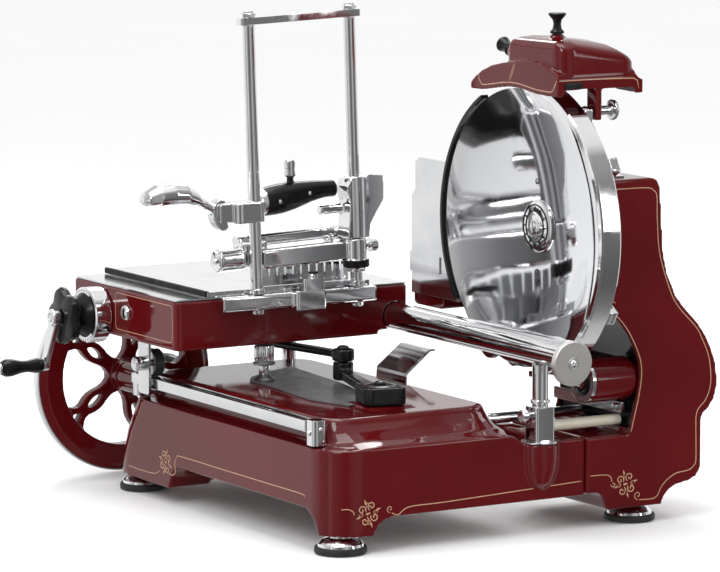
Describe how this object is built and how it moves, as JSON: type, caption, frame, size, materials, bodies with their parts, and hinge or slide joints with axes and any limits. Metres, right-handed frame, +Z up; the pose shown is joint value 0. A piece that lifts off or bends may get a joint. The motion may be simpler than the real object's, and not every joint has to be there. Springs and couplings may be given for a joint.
{
  "type": "deli meat slicer",
  "caption": "Hand-turned flywheel meat slicer: round dished blade in a guard, sliding carriage with meat press, screw-fed table and hinged sharpener hood.",
  "frame": {"origin": "middle of the overall box, on the plane the feet stand on", "axes": "+Z up; +Y along the carriage's travel towards the flywheel; +X from the feed crank towards the drive tower"},
  "size_m": [0.6556, 0.7826, 0.585],
  "materials": {
    "red_enamel": "deep gloss enamel",
    "chrome": "mirror",
    "polished_steel": "polished",
    "blade_steel": "mirror",
    "grey_steel": "satin",
    "black_steel": "black oxide",
    "black_plastic": "gloss",
    "ivory_rod": "semi-gloss",
    "nylon": "satin"
  },
  "bodies": {
    "frame": {"base_body": "red_enamel", "rear_frame": "red_enamel", "foot_front_left": "chrome", "foot_front_right": "chrome", "foot_rear_left": "chrome", "foot_rear_right": "chrome", "tower_housing": "red_enamel", "tower_side_cover": "black_steel", "bearing_barrel": "red_enamel", "guide_bar": "polished_steel", "tie_rod": "ivory_rod", "flat_rail": "polished_steel", "rail_block_front": "chrome", "round_rail": "chrome", "round_rail_cap": "chrome", "rail_column_front": "chrome", "rail_column_rear": "chrome", "deck_plate": "grey_steel", "deflector": "polished_steel", "gauge_plate": "polished_steel", "gauge_bracket": "red_enamel", "blade_guard": "chrome", "blade_support_arm": "polished_steel", "drive_chain": "grey_steel"},
    "clamp_screw": {"clamp_screw": "chrome"},
    "flywheel": {"flywheel": "red_enamel", "flywheel_shaft": "polished_steel", "bevel_pinion": "grey_steel"},
    "flywheel_grip": {"flywheel_grip": "black_plastic"},
    "cross_shaft": {"cross_shaft": "polished_steel", "bevel_wheel": "grey_steel"},
    "blade": {"blade": "blade_steel", "blade_hub_cap": "chrome", "blade_shaft": "polished_steel"},
    "carriage": {"table_body": "red_enamel", "table_top_plate": "polished_steel", "feed_housing": "chrome", "roller_bracket": "polished_steel"},
    "roller": {"roller": "nylon"},
    "holder": {"meat_plate": "polished_steel", "front_bar": "chrome", "post_left": "chrome", "post_right": "chrome", "top_bar": "chrome", "spike_plate": "polished_steel"},
    "plunger": {"plunger": "chrome"},
    "crank": {"feed_screw": "polished_steel", "feed_crank_arm": "chrome"},
    "crank_grip": {"feed_crank_grip": "black_plastic"},
    "thickness_knob": {"thickness_knob": "black_plastic"},
    "press": {"press_bar": "chrome", "press_bracket": "chrome", "press_handle": "black_plastic"},
    "press_lever": {"press_lever": "chrome"},
    "press_knob": {"press_knob": "chrome"},
    "hood": {"hood_shell": "red_enamel"},
    "hood_knob": {"hood_knob": "black_plastic"},
    "stone_knob": {"stone_knob": "black_plastic"},
    "rocker": {"rocker_arm": "black_steel"},
    "link": {"link_arm": "black_steel"}
  },
  "joints": [
    {"name": "flywheel_spin", "type": "hinge", "parent": "frame", "child": "flywheel", "pos_m": [-0.1248, 0.28628, 0.12], "axis": [0, 1, 0], "continuous": true},
    {"name": "flywheel_grip_spin", "type": "hinge", "parent": "flywheel", "child": "flywheel_grip", "pos_m": [-0.0398, 0.34628, 0.12], "axis": [0, 1, 0], "continuous": true},
    {"name": "cross_spin", "type": "hinge", "parent": "frame", "child": "cross_shaft", "pos_m": [0.1392, -0.22072, 0.12], "axis": [1, 0, 0], "continuous": true},
    {"name": "blade_spin", "type": "hinge", "parent": "frame", "child": "blade", "pos_m": [0.1292, -0.22072, 0.337], "axis": [1, 0, 0], "continuous": true},
    {"name": "carriage_slide", "type": "slide", "parent": "frame", "child": "carriage", "axis": [0, 1, 0], "range_m": [-0.24, 0]},
    {"name": "roller_spin", "type": "hinge", "parent": "carriage", "child": "roller", "pos_m": [-0.1763, 0.11128, 0.1615], "axis": [1, 0, 0], "range_deg": [-10, 850]},
    {"name": "feed_slide", "type": "slide", "parent": "carriage", "child": "holder", "axis": [1, 0, 0], "range_m": [-0.06, 0.045]},
    {"name": "feed_crank_spin", "type": "hinge", "parent": "carriage", "child": "crank", "pos_m": [-0.2208, 0.18928, 0.212], "axis": [1, 0, 0], "range_deg": [-2705, 2030]},
    {"name": "feed_crank_grip_spin", "type": "hinge", "parent": "crank", "child": "crank_grip", "pos_m": [-0.2908, 0.21628, 0.152], "axis": [1, 0, 0], "continuous": true},
    {"name": "thickness_knob_turn", "type": "hinge", "parent": "carriage", "child": "thickness_knob", "pos_m": [-0.2508, 0.18928, 0.212], "axis": [1, 0, 0], "range_deg": [0, 300]},
    {"name": "plunger_push", "type": "slide", "parent": "holder", "child": "plunger", "axis": [0, 0, -1], "range_m": [0, 0.008], "stiffness_N_per_m": 300, "springref_m": -0.006},
    {"name": "press_slide", "type": "slide", "parent": "holder", "child": "press", "axis": [-0.0332, 0, 0.9995], "range_m": [0, 0.15]},
    {"name": "press_lever_squeeze", "type": "hinge", "parent": "press", "child": "press_lever", "pos_m": [-0.14706, 0.00728, 0.34736], "axis": [0, 1, 0], "range_deg": [0, 12], "stiffness_Nm_per_rad": 0.6, "springref_deg": -17.19},
    {"name": "press_knob_turn", "type": "hinge", "parent": "press", "child": "press_knob", "pos_m": [0.04916, -0.00572, 0.29884], "axis": [0.9995, 0, 0.0332], "range_deg": [0, 360]},
    {"name": "hood_tilt", "type": "hinge", "parent": "frame", "child": "hood", "pos_m": [0.1642, -0.30672, 0.476], "axis": [1, 0, 0], "range_deg": [0, 45]},
    {"name": "hood_knob_pull", "type": "slide", "parent": "hood", "child": "hood_knob", "axis": [0, 0, 1], "range_m": [0, 0.006], "stiffness_N_per_m": 400, "springref_m": -0.005},
    {"name": "stone_knob_pull", "type": "slide", "parent": "hood", "child": "stone_knob", "axis": [0, 0.9659, 0.2588], "range_m": [0, 0.006], "stiffness_N_per_m": 400, "springref_m": -0.005},
    {"name": "clamp_screw_turn", "type": "hinge", "parent": "frame", "child": "clamp_screw", "pos_m": [0.0692, -0.30872, 0.137], "axis": [1, 0, 0], "range_deg": [0, 360]},
    {"name": "rocker_swing", "type": "hinge", "parent": "frame", "child": "rocker", "pos_m": [-0.0588, -0.20572, 0.158], "axis": [0, 0, 1], "range_deg": [-84, 1]},
    {"name": "link_swing", "type": "hinge", "parent": "carriage", "child": "link", "pos_m": [-0.0588, 0.16628, 0.18], "axis": [0, 0, 1], "range_deg": [-1, 37]}
  ],
  "couplings": [
    {"joint": "cross_spin", "follows": "flywheel_spin", "ratio": -1},
    {"joint": "blade_spin", "follows": "flywheel_spin", "ratio": -2},
    {"joint": "roller_spin", "follows": "carriage_slide", "rad_per_m": -61.35},
    {"joint": "feed_crank_spin", "follows": "feed_slide", "rad_per_m": 785.4},
    {"joint": "rocker_swing", "follows": "carriage_slide", "rad_per_m": 5.947},
    {"joint": "link_swing", "follows": "carriage_slide", "rad_per_m": -2.523}
  ]
}
